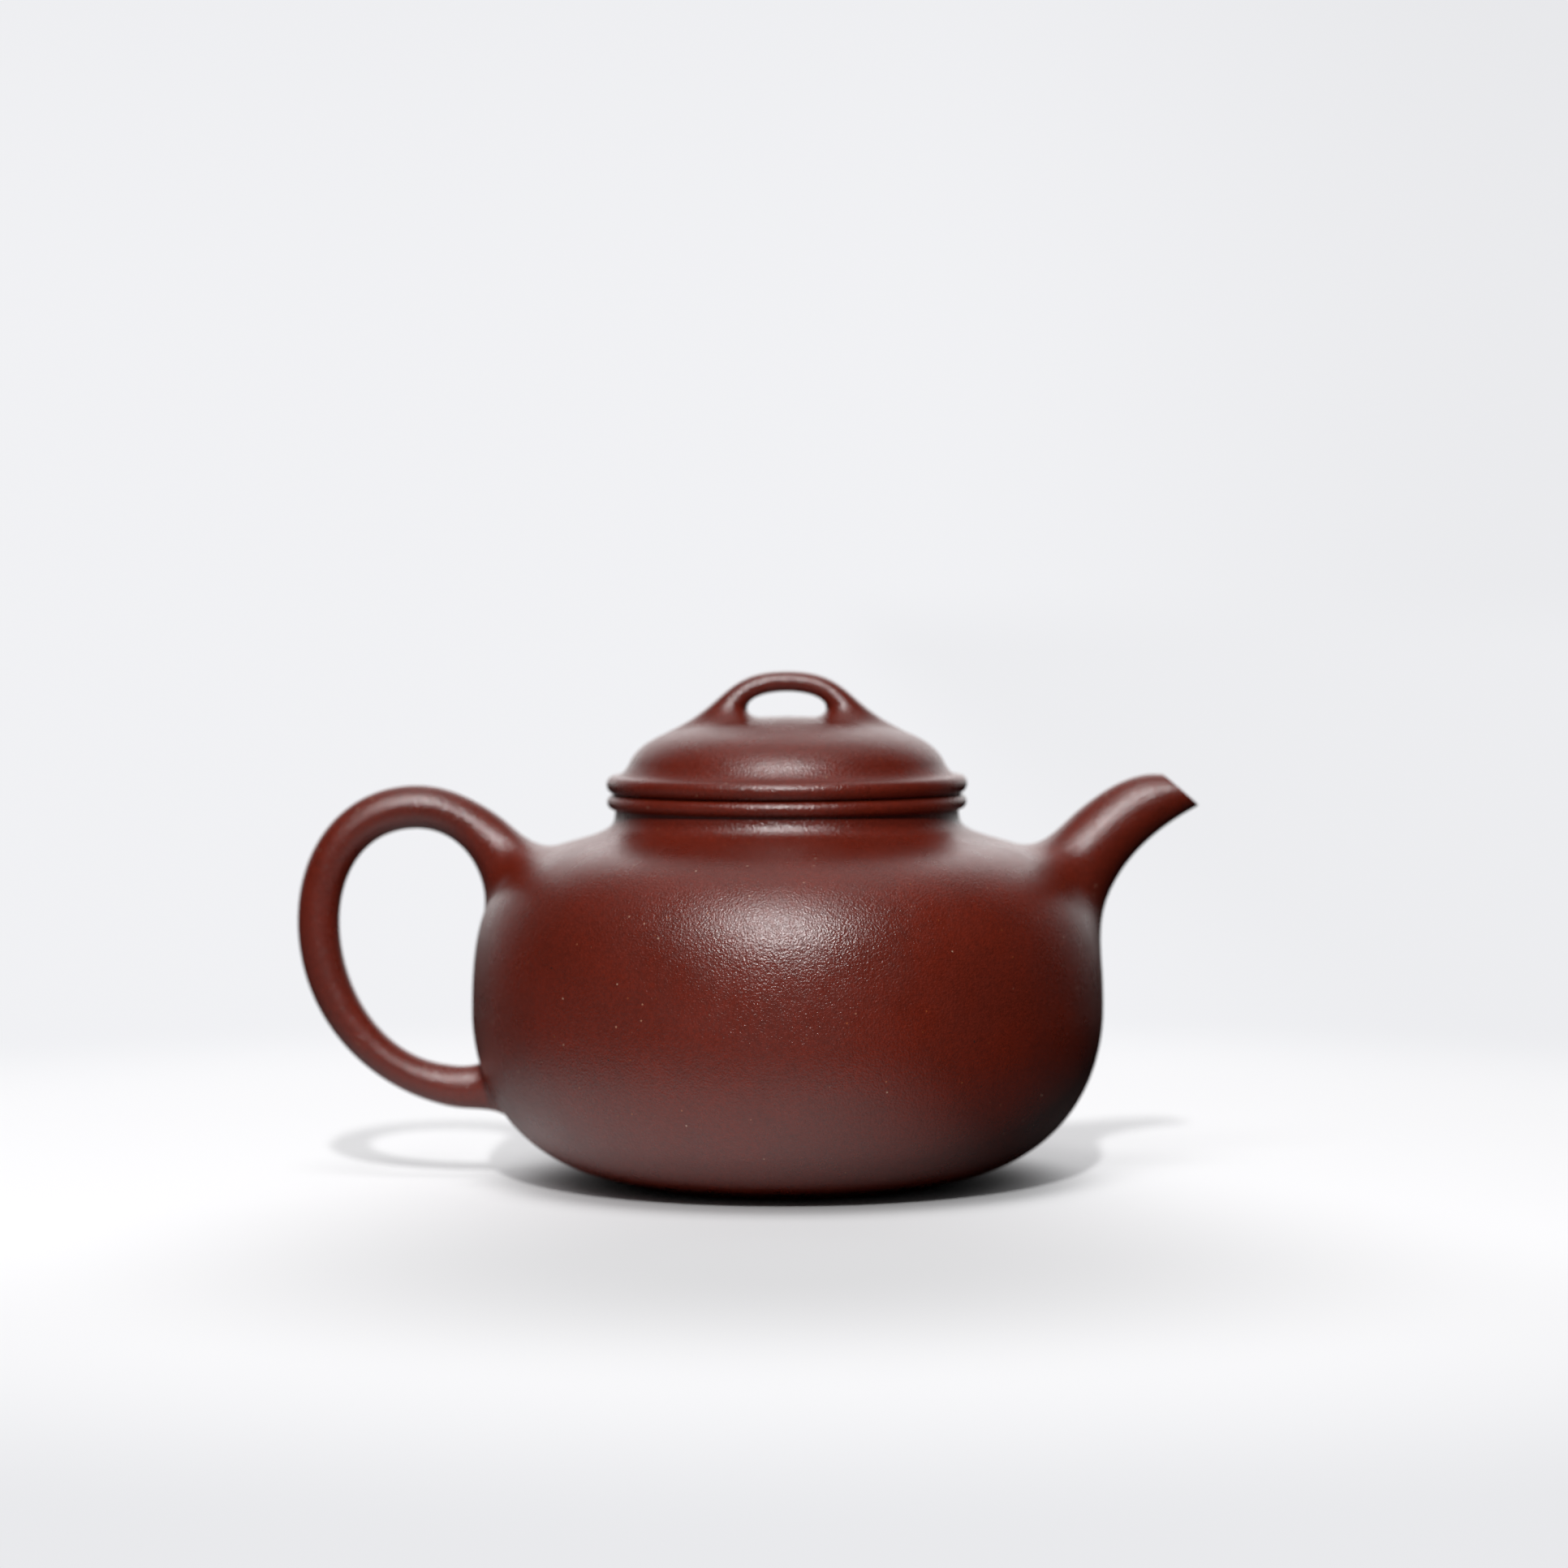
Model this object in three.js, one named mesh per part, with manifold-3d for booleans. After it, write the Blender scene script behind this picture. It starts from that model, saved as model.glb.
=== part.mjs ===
// A Yixing clay teapot: a round-bellied pot with a coil handle, a curved spout and a lid with a
// bridge knob. Millimetres, +Z up. The origin is the centre of the foot on the table, the spout
// points along +X and the handle along -X.

import * as THREE from 'three';
import { mergeVertices } from 'three/addons/utils/BufferGeometryUtils.js';
import Module from 'manifold-3d';

const wasm = await Module();
wasm.setup();

// Driving dimensions. r is a radius from the pot's axis, z is a height above the table.
const FOOT = { r: 28, z: 0.8 };
const BELLY = { r: 52.5, z: 28.8 };
const SHOULDER = { r: 36.8, z: 56.35 };
const NECK = { r: 28.65, z: 61.9 };
const UNDERSIDE_SLOPE = 0.15; // radians from the horizontal, where the wall leaves the foot
const SHOULDER_SLOPE = 0.27; // radians from the horizontal, where the shoulder disc starts
const WALL = 2.8;
const MOUTH_RADIUS = 25;
const MOUTH_TOP = 64.45;
const BASE_THICKNESS = 3.55;
const REST_RADIUS = 26.8; // the flat face of the base that rests on the table

const LID_GAP = 0.2; // the lid stands off the mouth rim by the roughness of the clay
const LID_BASE = MOUTH_TOP + LID_GAP;
const LID_EDGE_TOP = 67.5;
const LID_TOP = 77.3;
const LID_WALL = 2.6;
const CROWN_REACH = 13; // how far the flat top of the crown pulls outwards
const STEAM_HOLE_RADIUS = 1;
const SEAT_RADIUS = 27;
const FLANGE_CLEARANCE = 0.35; // between the lid flange and the mouth
const FLANGE_WALL = 2.3;
const FLANGE_DEPTH = 9;

const SLIP = 0.1; // layer of liquid clay between two luted pieces
const CUT_GAP = 0.3; // the same layer where one piece is trimmed to a curved neighbour

const ROUND_SEGMENTS = 48; // around everything that is round about the pot's axis
const COIL_SIDES = 20; // around the handle, the spout and the knob

// ---------------------------------------------------------------- curves and solids

const point = (r, z) => new THREE.Vector2(r, z);

function bezier(a, b, c, d) {
  return new THREE.CubicBezierCurve(point(...a), point(...b), point(...c), point(...d));
}

// Points along a curve from parameter t0 to t1, moved `inset` to the left of its direction.
function pointsAlong(curve, t0, t1, steps, inset = 0) {
  const points = [];
  for (let i = 0; i <= steps; i++) {
    const t = t0 + ((t1 - t0) * i) / steps;
    const tangent = curve.getTangent(t);
    const p = curve.getPoint(t);
    points.push(point(p.x - tangent.y * inset, p.y + tangent.x * inset));
  }
  return points;
}

// A ring or disc turned about the pot's axis from a profile of (r, z) points.
function turned(points) {
  const closesOnAxis = points[0].x === 0;
  const profile = closesOnAxis ? points : [...points, points[0]];
  return new THREE.LatheGeometry(profile, ROUND_SEGMENTS).rotateX(Math.PI / 2);
}

// A rod whose cross-sections are ellipses in planes that contain the Y direction. Each section
// has a centre and a half axis in the XZ plane, and a half width along Y.
function rod(sections) {
  const rows = sections.length - 1;
  const geometry = new THREE.CylinderGeometry(1, 1, 1, COIL_SIDES, rows);
  const position = geometry.getAttribute('position');
  for (let i = 0; i < position.count; i++) {
    const row = Math.round((0.5 - position.getY(i)) * rows);
    const { centre, axis, halfWidth } = sections[row];
    const across = position.getX(i);
    const sideways = position.getZ(i);
    const x = centre.x + axis.x * across;
    const z = centre.y + axis.y * across;
    position.setXYZ(i, x, halfWidth * sideways, z);
  }
  return geometry;
}

// One section of a rod that reaches from a point on one outline to a point on the other. Along
// the rod, the first outline is on the right-hand side, seen from the front of the pot.
function sectionBetween(a, b, halfWidth) {
  const centre = a.clone().add(b).multiplyScalar(0.5);
  const axis = a.clone().sub(b).multiplyScalar(0.5);
  return { centre, axis, halfWidth };
}

function shrinkSection(section, wall) {
  const keep = 1 - wall / section.axis.length();
  const halfWidth = section.halfWidth - wall;
  return { centre: section.centre.clone(), axis: section.axis.clone().multiplyScalar(keep), halfWidth };
}

function shiftSection(section, dx, dz) {
  return { ...section, centre: section.centre.clone().add(point(dx, dz)) };
}

function toSolid(geometry) {
  const bare = geometry.clone();
  bare.deleteAttribute('normal');
  bare.deleteAttribute('uv');
  const merged = mergeVertices(bare, 1e-4);
  const vertProperties = new Float32Array(merged.getAttribute('position').array);
  const triVerts = new Uint32Array(merged.getIndex().array);
  return new wasm.Manifold(new wasm.Mesh({ numProp: 3, vertProperties, triVerts }));
}

function toGeometry(solid) {
  const { vertProperties, triVerts } = solid.getMesh();
  const geometry = new THREE.BufferGeometry();
  geometry.setAttribute('position', new THREE.BufferAttribute(vertProperties, 3));
  geometry.setIndex(new THREE.BufferAttribute(triVerts, 1));
  geometry.computeVertexNormals();
  return geometry;
}

// ---------------------------------------------------------------- outlines

const underside = bezier(
  [FOOT.r, FOOT.z],
  [FOOT.r + 17.3, FOOT.z + 17.3 * Math.tan(UNDERSIDE_SLOPE)],
  [BELLY.r, BELLY.z - 12.8],
  [BELLY.r, BELLY.z],
);
const flank = bezier(
  [BELLY.r, BELLY.z],
  [BELLY.r, BELLY.z + 11.6],
  [SHOULDER.r + 11.3, SHOULDER.z - 11.3 * Math.tan(SHOULDER_SLOPE)],
  [SHOULDER.r, SHOULDER.z],
);
const neckSlope = bezier(
  [SHOULDER.r, SHOULDER.z],
  [SHOULDER.r - 7.6, SHOULDER.z + 7.6 * Math.tan(SHOULDER_SLOPE)],
  [NECK.r, NECK.z - 1.4],
  [NECK.r, NECK.z],
);
const NECK_RING_START = 0.46; // where along the neck slope the neck ring is luted on

const mouthRimEdge = bezier([NECK.r, NECK.z + SLIP], [29.9, 62.2], [30.2, 64.3], [28.9, MOUTH_TOP]);
const lidRimEdge = bezier([29, LID_BASE], [30.35, 66.2], [30.1, 67.6], [28.4, LID_EDGE_TOP]);
const lidCove = bezier([28.4, LID_EDGE_TOP + SLIP], [27.5, 68.1], [26.6, 69.2], [25.9, 70.1]);
const lidCrown = bezier([25.9, 70.1], [22.3, 74.6], [CROWN_REACH, LID_TOP], [0, LID_TOP]);

const knobTop = bezier([0, 84.65], [10.5, 84.65], [9.85, 79.4], [19.4, 74.9]);
const knobOpening = bezier([0, 81.75], [6.3, 81.75], [8.6, 78.6], [5, 77.2]);

const handleBack = [
  bezier([-40.5, 56], [-46.9, 59.8], [-53.1, 66.1], [-61.5, 66.1]),
  bezier([-61.5, 66.1], [-73.2, 66.1], [-81.5, 56.7], [-81.5, 43.5]),
  bezier([-81.5, 43.5], [-81.5, 25.7], [-67.4, 12.4], [-50.4, 11.7]),
];
const handleFinger = [
  bezier([-51.4, 37.7], [-47.4, 50.1], [-53.6, 58.9], [-61.6, 58.9]),
  bezier([-61.6, 58.9], [-70.1, 58.9], [-74.6, 51.6], [-74.6, 43.3]),
  bezier([-74.6, 43.3], [-74.6, 31.5], [-66.3, 18.5], [-53.6, 19.5]),
];

const spoutTop = bezier([40.9, 55.8], [47.6, 60], [54.6, 68.3], [62.9, 67.5]);
const spoutBottom = bezier([51.9, 39.5], [51.1, 50.7], [59.9, 58.4], [68.4, 62.5]);

// ---------------------------------------------------------------- the pot's envelope and cavity

// Everything inside the pot's outer surface, grown by `grow`.
function potEnvelope(grow) {
  const points = [
    point(0, -grow),
    ...pointsAlong(underside, 0, 1, 8, -grow),
    ...pointsAlong(flank, 0, 1, 8, -grow).slice(1),
    ...pointsAlong(neckSlope, 0, 1, 6, -grow).slice(1),
    point(0, NECK.z),
  ];
  return toSolid(turned(points));
}

// The hollow inside the pot, smaller by CUT_GAP than the wall's inner surface.
function potCavity() {
  const inset = WALL + CUT_GAP;
  const points = [
    point(0, FOOT.z + inset),
    ...pointsAlong(underside, 0, 1, 8, inset),
    ...pointsAlong(flank, 0, 1, 8, inset).slice(1),
    point(0, SHOULDER.z - inset),
  ];
  return toSolid(turned(points));
}

// Everything inside the lid's outer surface, grown by CUT_GAP.
function lidEnvelope() {
  const points = [
    point(0, LID_BASE),
    point(28.4, LID_BASE),
    ...pointsAlong(lidCove, 0, 1, 4, -CUT_GAP),
    ...pointsAlong(lidCrown, 0, 1, 10, -CUT_GAP).slice(1, -1),
    point(0, LID_TOP + CUT_GAP),
  ];
  return toSolid(turned(points));
}

// ---------------------------------------------------------------- the pot

function baseDisc() {
  const edge = FOOT.r - SLIP - 0.05;
  return turned([
    point(0, 0),
    point(REST_RADIUS, 0),
    point(REST_RADIUS + 0.75, 0.25),
    point(edge, FOOT.z),
    point(edge - WALL * Math.sin(UNDERSIDE_SLOPE), BASE_THICKNESS),
    point(0, BASE_THICKNESS),
  ]);
}

function bodyWall() {
  const wall = turned([
    ...pointsAlong(underside, 0, 1, 8),
    ...pointsAlong(flank, 0, 1, 8).slice(1),
    ...pointsAlong(flank, 1, 0, 7, WALL),
    ...pointsAlong(underside, 1, 0, 7, WALL).slice(1),
  ]);
  return toGeometry(toSolid(wall).subtract(toSolid(rod(spoutBoreSections()))));
}

function shoulderDisc() {
  return turned([
    ...pointsAlong(neckSlope, 0.01, NECK_RING_START, 5),
    point(MOUTH_RADIUS, neckSlope.getPoint(NECK_RING_START).y),
    point(MOUTH_RADIUS, SHOULDER.z),
    ...pointsAlong(neckSlope, 0.3, 0.01, 2, WALL),
  ]);
}

function neckRing() {
  const slope = pointsAlong(neckSlope, NECK_RING_START + 0.02, 1, 4);
  return turned([point(MOUTH_RADIUS, slope[0].y), ...slope, point(MOUTH_RADIUS, NECK.z)]);
}

function mouthRim() {
  return turned([
    point(MOUTH_RADIUS, NECK.z + SLIP),
    ...pointsAlong(mouthRimEdge, 0, 1, 6),
    point(MOUTH_RADIUS + 0.5, MOUTH_TOP),
    point(MOUTH_RADIUS, MOUTH_TOP - 0.5),
  ]);
}

// ---------------------------------------------------------------- the spout and its strainer

const SPOUT_STEPS = 12;
const SPOUT_ROOT_HALF_WIDTH = 9.2;
const SPOUT_MIDDLE_HALF_WIDTH = 5.6;
const SPOUT_TIP_HALF_WIDTH = 3.3;
const SPOUT_ROOT_WALL = 2.1;
const SPOUT_TIP_WALL = 1.2;
const SPOUT_AIM = point(Math.cos(0.55), Math.sin(0.55)); // out of the belly, at the spout's root

function spoutSections() {
  const sections = [];
  for (let i = 0; i <= SPOUT_STEPS; i++) {
    const t = i / SPOUT_STEPS;
    const flare = (SPOUT_ROOT_HALF_WIDTH - SPOUT_MIDDLE_HALF_WIDTH) * (1 - t) ** 4;
    const taper = (SPOUT_MIDDLE_HALF_WIDTH - SPOUT_TIP_HALF_WIDTH) * (1 - t ** 1.5);
    const halfWidth = SPOUT_TIP_HALF_WIDTH + taper + flare;
    sections.push(sectionBetween(spoutBottom.getPoint(t), spoutTop.getPoint(t), halfWidth));
  }
  return sections;
}

// The bore reaches past both ends of the spout, so that it cuts the wall and opens the tip.
function spoutBoreSections() {
  const bore = spoutSections().map((section, i) => {
    const thinning = ((SPOUT_ROOT_WALL - SPOUT_TIP_WALL) * i) / SPOUT_STEPS;
    return shrinkSection(section, SPOUT_ROOT_WALL - thinning);
  });
  const start = shiftSection(bore[0], -8 * SPOUT_AIM.x, -8 * SPOUT_AIM.y);
  const end = shiftSection(bore[SPOUT_STEPS], 3, 2.6);
  return [start, ...bore, end];
}

function spout() {
  const sections = spoutSections();
  const root = shiftSection(sections[0], -3 * SPOUT_AIM.x, -3 * SPOUT_AIM.y);
  const outer = toSolid(rod([root, ...sections]));
  const bore = toSolid(rod(spoutBoreSections()));
  return toGeometry(outer.subtract(bore).subtract(potEnvelope(CUT_GAP)));
}

const STRAINER_RADIUS = 10;
const STRAINER_RISE = 5.5;
const STRAINER_WALL = 1.6;
const STRAINER_HOLE_RADIUS = 1;
const STRAINER_RING_RADIUS = 4.6;
const STRAINER_SETBACK = 2.2; // from the middle of the spout's root, into the wall

// A small perforated dome luted over the spout's opening, inside the wall. It is made around +Z,
// bulging down, and then turned to lie against the wall.
function strainer() {
  const sphere = (STRAINER_RADIUS ** 2 + STRAINER_RISE ** 2) / (2 * STRAINER_RISE);
  const spread = Math.asin(STRAINER_RADIUS / sphere);
  const profile = [];
  const steps = 5;
  for (let i = 0; i <= steps; i++) {
    const angle = (spread * i) / steps;
    profile.push(point(sphere * Math.sin(angle), -sphere * Math.cos(angle)));
  }
  const inner = sphere - STRAINER_WALL;
  for (let i = steps; i >= 0; i--) {
    const angle = (spread * i) / steps;
    profile.push(point(inner * Math.sin(angle), -inner * Math.cos(angle)));
  }
  const dome = new THREE.LatheGeometry(profile, 24).rotateX(Math.PI / 2);
  let solid = toSolid(dome.translate(0, 0, sphere * Math.cos(spread)));
  for (let i = 0; i <= 6; i++) {
    const hole = new THREE.CylinderGeometry(STRAINER_HOLE_RADIUS, STRAINER_HOLE_RADIUS, 20, 10);
    const ring = i === 0 ? 0 : STRAINER_RING_RADIUS;
    const angle = (i * Math.PI) / 3;
    hole.rotateX(Math.PI / 2).translate(ring * Math.cos(angle), ring * Math.sin(angle), 0);
    solid = solid.subtract(toSolid(hole));
  }
  const placed = toGeometry(solid);
  const root = spoutSections()[0].centre;
  placed.rotateY(Math.PI / 2 - Math.atan2(SPOUT_AIM.y, SPOUT_AIM.x));
  placed.translate(root.x - STRAINER_SETBACK * SPOUT_AIM.x, 0, root.y - STRAINER_SETBACK * SPOUT_AIM.y);
  return toGeometry(toSolid(placed).intersect(potCavity()));
}

// ---------------------------------------------------------------- the handle

const HANDLE_ROOT_HALF_WIDTH = 6.4;
const HANDLE_HALF_WIDTH = 3.6;
const HANDLE_TAIL_HALF_WIDTH = 3.1;

function handle() {
  const sections = [];
  const steps = [9, 7, 9];
  steps.forEach((count, part) => {
    for (let i = part === 0 ? 0 : 1; i <= count; i++) {
      const t = i / count;
      const along = (part + t) / steps.length;
      const flare = (HANDLE_ROOT_HALF_WIDTH - HANDLE_HALF_WIDTH) * Math.max(0, 1 - 4 * along) ** 2;
      const taper = (HANDLE_HALF_WIDTH - HANDLE_TAIL_HALF_WIDTH) * along ** 2;
      const halfWidth = HANDLE_HALF_WIDTH + flare - taper;
      const back = handleBack[part].getPoint(t);
      const finger = handleFinger[part].getPoint(t);
      sections.push(sectionBetween(back, finger, halfWidth));
    }
  });
  const upperRoot = shiftSection(sections[0], 3, -1.5);
  const lowerRoot = shiftSection(sections[sections.length - 1], 4, 0.5);
  const coil = toSolid(rod([upperRoot, ...sections, lowerRoot]));
  return toGeometry(coil.subtract(potEnvelope(CUT_GAP)));
}

// ---------------------------------------------------------------- the lid

function lidFlange() {
  const outer = MOUTH_RADIUS - FLANGE_CLEARANCE;
  const inner = outer - FLANGE_WALL;
  const top = LID_BASE - SLIP;
  const bottom = top - FLANGE_DEPTH;
  return turned([
    point(inner, top),
    point(inner, bottom + 0.6),
    point(inner + 0.6, bottom),
    point(outer - 0.8, bottom),
    point(outer, bottom + 0.8),
    point(outer, top),
  ]);
}

function lidSeatDisc() {
  const inner = MOUTH_RADIUS - FLANGE_CLEARANCE - FLANGE_WALL;
  return turned([
    point(inner, LID_BASE),
    point(SEAT_RADIUS, LID_BASE),
    point(SEAT_RADIUS, LID_EDGE_TOP),
    point(inner, LID_EDGE_TOP),
  ]);
}

function lidRimBand() {
  return turned([
    point(SEAT_RADIUS + SLIP, LID_BASE),
    ...pointsAlong(lidRimEdge, 0, 1, 6),
    point(SEAT_RADIUS + SLIP, LID_EDGE_TOP),
  ]);
}

function lidDome() {
  // Near the axis the crown's radius is 3 * CROWN_REACH * (1 - t).
  const holeEdge = 1 - STEAM_HOLE_RADIUS / (3 * CROWN_REACH);
  return turned([
    point(23.6, LID_EDGE_TOP + SLIP),
    ...pointsAlong(lidCove, 0, 1, 4),
    ...pointsAlong(lidCrown, 0, holeEdge, 10).slice(1),
    ...pointsAlong(lidCrown, holeEdge, 0, 8, LID_WALL),
  ]);
}

const KNOB_HALF_WIDTH = 3.2;
const KNOB_FOOT_HALF_WIDTH = 5.6;

function bridgeKnob() {
  const steps = 11;
  const sections = [];
  for (let i = -steps; i <= steps; i++) {
    const t = Math.abs(i) / steps;
    const top = knobTop.getPoint(t);
    const opening = knobOpening.getPoint(t);
    top.x *= Math.sign(i);
    opening.x *= Math.sign(i);
    const halfWidth = KNOB_HALF_WIDTH + (KNOB_FOOT_HALF_WIDTH - KNOB_HALF_WIDTH) * t ** 2;
    sections.push(sectionBetween(opening, top, halfWidth));
  }
  const leftFoot = shiftSection(sections[0], 0, -1.5);
  const rightFoot = shiftSection(sections[2 * steps], 0, -1.5);
  const bridge = toSolid(rod([leftFoot, ...sections, rightFoot]));
  return toGeometry(bridge.subtract(lidEnvelope()));
}

// ---------------------------------------------------------------- assembly

function clay() {
  return new THREE.MeshStandardMaterial({ color: 0x6e2f27, roughness: 0.48, metalness: 0 });
}

function piece(name, geometry) {
  const mesh = new THREE.Mesh(geometry, clay());
  mesh.name = name;
  return mesh;
}

const pot = new THREE.Group();
pot.add(piece('base_disc', baseDisc()));
pot.add(piece('body_wall', bodyWall()));
pot.add(piece('shoulder_disc', shoulderDisc()));
pot.add(piece('neck_ring', neckRing()));
pot.add(piece('mouth_rim', mouthRim()));
pot.add(piece('spout', spout()));
pot.add(piece('spout_strainer', strainer()));
pot.add(piece('handle', handle()));

const lid = new THREE.Group();
lid.add(piece('lid_flange', lidFlange()));
lid.add(piece('lid_seat_disc', lidSeatDisc()));
lid.add(piece('lid_rim_band', lidRimBand()));
lid.add(piece('lid_dome', lidDome()));
lid.add(piece('bridge_knob', bridgeKnob()));

const teapot = new THREE.Group();
teapot.add(pot, lid);

export default teapot;
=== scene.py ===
"""A Yixing teapot of dark red zisha clay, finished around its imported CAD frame.

Shapes are worked out in millimetres, with +Z up and the spout along +X, and become Blender
meshes in metres. r is a radius from the pot's axis and z is a height above the table.
"""
import math

import bmesh
import bpy
import numpy as np
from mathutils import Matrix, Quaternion, Vector

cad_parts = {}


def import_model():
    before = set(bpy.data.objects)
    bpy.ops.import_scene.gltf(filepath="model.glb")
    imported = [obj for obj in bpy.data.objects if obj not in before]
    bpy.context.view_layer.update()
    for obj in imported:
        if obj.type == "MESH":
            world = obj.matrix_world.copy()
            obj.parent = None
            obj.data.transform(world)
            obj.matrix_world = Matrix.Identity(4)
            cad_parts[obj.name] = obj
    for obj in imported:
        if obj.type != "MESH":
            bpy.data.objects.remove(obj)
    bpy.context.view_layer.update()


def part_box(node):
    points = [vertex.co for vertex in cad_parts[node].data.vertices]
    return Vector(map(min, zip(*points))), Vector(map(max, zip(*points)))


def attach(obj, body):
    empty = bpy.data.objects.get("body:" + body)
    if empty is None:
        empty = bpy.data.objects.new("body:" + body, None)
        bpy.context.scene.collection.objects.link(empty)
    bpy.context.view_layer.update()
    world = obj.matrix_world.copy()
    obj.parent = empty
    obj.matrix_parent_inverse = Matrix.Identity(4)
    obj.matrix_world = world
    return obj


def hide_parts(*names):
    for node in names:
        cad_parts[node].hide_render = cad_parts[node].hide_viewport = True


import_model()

MM = 0.001  # metres in a millimetre
ROUND = 256  # points around everything turned about the pot's axis
COIL = 96  # points around the spout, the handle and the knob


# ------------------------------------------------------------------ sizes, from the frame

def box(node):
    low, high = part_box(node)
    return np.array(low) / MM, np.array(high) / MM


def in_box(node, shares):
    """Points in the XZ plane from shares of a node's reach from the axis and of its height."""
    low, high = box(node)
    reach = max(-low[0], high[0])
    return [(share_x * reach, low[2] + share_z * (high[2] - low[2])) for share_x, share_z in shares]


BASE_TOP = box("base_disc")[1][2]
FOOT_RADIUS = box("base_disc")[1][0] + 0.15
FOOT_HEIGHT = box("body_wall")[0][2]
BELLY_RADIUS = box("body_wall")[1][0]
SHOULDER_HEIGHT = box("body_wall")[1][2]
SHOULDER_RADIUS = box("shoulder_disc")[1][0] + 0.23
RIM_BASE = box("mouth_rim")[0][2]
RIM_TOP = box("mouth_rim")[1][2]
RIM_RADIUS = box("mouth_rim")[1][0]
LID_BASE = box("lid_rim_band")[0][2]
BAND_TOP = box("lid_rim_band")[1][2]
LID_TOP = box("lid_dome")[1][2]
LID_FOOT_RADIUS = box("lid_dome")[1][0]
SEAT_RADIUS = box("lid_seat_disc")[1][0]
FLANGE_RADIUS = box("lid_flange")[1][0]
FLANGE_BOTTOM = box("lid_flange")[0][2]

BELLY_HEIGHT = FOOT_HEIGHT + 0.504 * (SHOULDER_HEIGHT - FOOT_HEIGHT)
NECK_RADIUS = RIM_RADIUS - 1.2
WALL = BASE_TOP - FOOT_HEIGHT
LID_PLAY = 0.35  # gap between the lid's flange and the mouth
MOUTH_RADIUS = FLANGE_RADIUS + LID_PLAY
FLANGE_WALL = 2.3
LID_WALL = 2.6
LID_HOLLOW_RADIUS = 23.6  # of the dome's hollow, where it meets the seat disc
STEAM_HOLE_RADIUS = 1.0
UNDERSIDE_SLOPE = math.tan(0.15)
SHOULDER_SLOPE = math.tan(0.27)


# ------------------------------------------------------------------ curves

def bezier(curve, t):
    """Points of a cubic Bezier curve at t; its control points may be whole rings of points."""
    a, b, c, d = (np.asarray(p, float) for p in curve)
    t = np.asarray(t, float)[..., None]
    return (1 - t) ** 3 * a + 3 * (1 - t) ** 2 * t * b + 3 * (1 - t) * t ** 2 * c + t ** 3 * d


def along(curves, t):
    """Points along curves laid end to end, with t from 0 to 1 over all of them."""
    t = np.atleast_1d(np.clip(np.asarray(t, float), 0, 1)) * len(curves)
    index = np.minimum(t.astype(int), len(curves) - 1)
    points = np.zeros(t.shape + (2,))
    for i, curve in enumerate(curves):
        points[index == i] = bezier(curve, t[index == i] - i)
    return points


def trace(curve, steps, start=0.0, end=1.0):
    return bezier(curve, np.linspace(start, end, steps + 1))


def inset(points, depth):
    """The same outline, moved to the left of its direction by depth."""
    tangent = np.gradient(points, axis=0)
    tangent /= np.linalg.norm(tangent, axis=1)[:, None]
    return points + depth * np.stack([-tangent[:, 1], tangent[:, 0]], axis=1)


def soften(corners, radius, steps=4):
    """An open outline of straight runs, with each corner between two runs rounded."""
    corners = np.asarray(corners, float)
    points = [corners[0]]
    for before, corner, after in zip(corners, corners[1:], corners[2:]):
        arm_in, arm_out = before - corner, after - corner
        reach_in = min(radius, 0.45 * np.linalg.norm(arm_in))
        reach_out = min(radius, 0.45 * np.linalg.norm(arm_out))
        start = corner + arm_in / np.linalg.norm(arm_in) * reach_in
        end = corner + arm_out / np.linalg.norm(arm_out) * reach_out
        for t in np.linspace(0, 1, steps + 1):
            points.append((1 - t) ** 2 * start + 2 * (1 - t) * t * corner + t ** 2 * end)
    points.append(corners[-1])
    return np.array(points)


def beside(point, run, slope):
    """The point run further from the axis than another one, on a line with this slope."""
    r, z = point
    return (r + run, z + run * slope)


FOOT = (FOOT_RADIUS, FOOT_HEIGHT)
BELLY = (BELLY_RADIUS, BELLY_HEIGHT)
SHOULDER = (SHOULDER_RADIUS, SHOULDER_HEIGHT)
NECK = (NECK_RADIUS, RIM_BASE - 0.05)
UNDERSIDE = [FOOT, beside(FOOT, 17.3, UNDERSIDE_SLOPE), (BELLY_RADIUS, BELLY_HEIGHT - 12.8), BELLY]
FLANK = [
    BELLY,
    (BELLY_RADIUS, BELLY_HEIGHT + 15.5),
    beside(SHOULDER, 13.2, -SHOULDER_SLOPE),
    SHOULDER,
]
NECK_SLOPE = [SHOULDER, beside(SHOULDER, -7.2, -SHOULDER_SLOPE), (NECK_RADIUS, RIM_BASE - 3.1), NECK]
NECK_RING_START = 0.46  # how far along the neck slope the shoulder disc ends
RIM_EDGE = [
    NECK,
    (RIM_RADIUS + 0.57, RIM_BASE),
    (RIM_RADIUS + 0.52, RIM_TOP - 0.05),
    (RIM_RADIUS - 1.03, RIM_TOP),
]
BAND_EDGE = [
    (LID_FOOT_RADIUS + 0.3, LID_BASE),
    (LID_FOOT_RADIUS + 1.9, LID_BASE + 0.1),
    (LID_FOOT_RADIUS + 2.15, BAND_TOP + 0.2),
    (LID_FOOT_RADIUS, BAND_TOP + 0.1),
]
CROWN_FOOT = (LID_FOOT_RADIUS - 2.25, BAND_TOP + 2.2)
LID_COVE = [
    (LID_FOOT_RADIUS, BAND_TOP),
    (LID_FOOT_RADIUS - 1.1, BAND_TOP + 0.2),
    (LID_FOOT_RADIUS - 1.75, BAND_TOP + 1.25),
    CROWN_FOOT,
]
LID_CROWN = [CROWN_FOOT, (LID_FOOT_RADIUS - 3.65, BAND_TOP + 5.5), (19.0, LID_TOP), (0.0, LID_TOP)]

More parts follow.
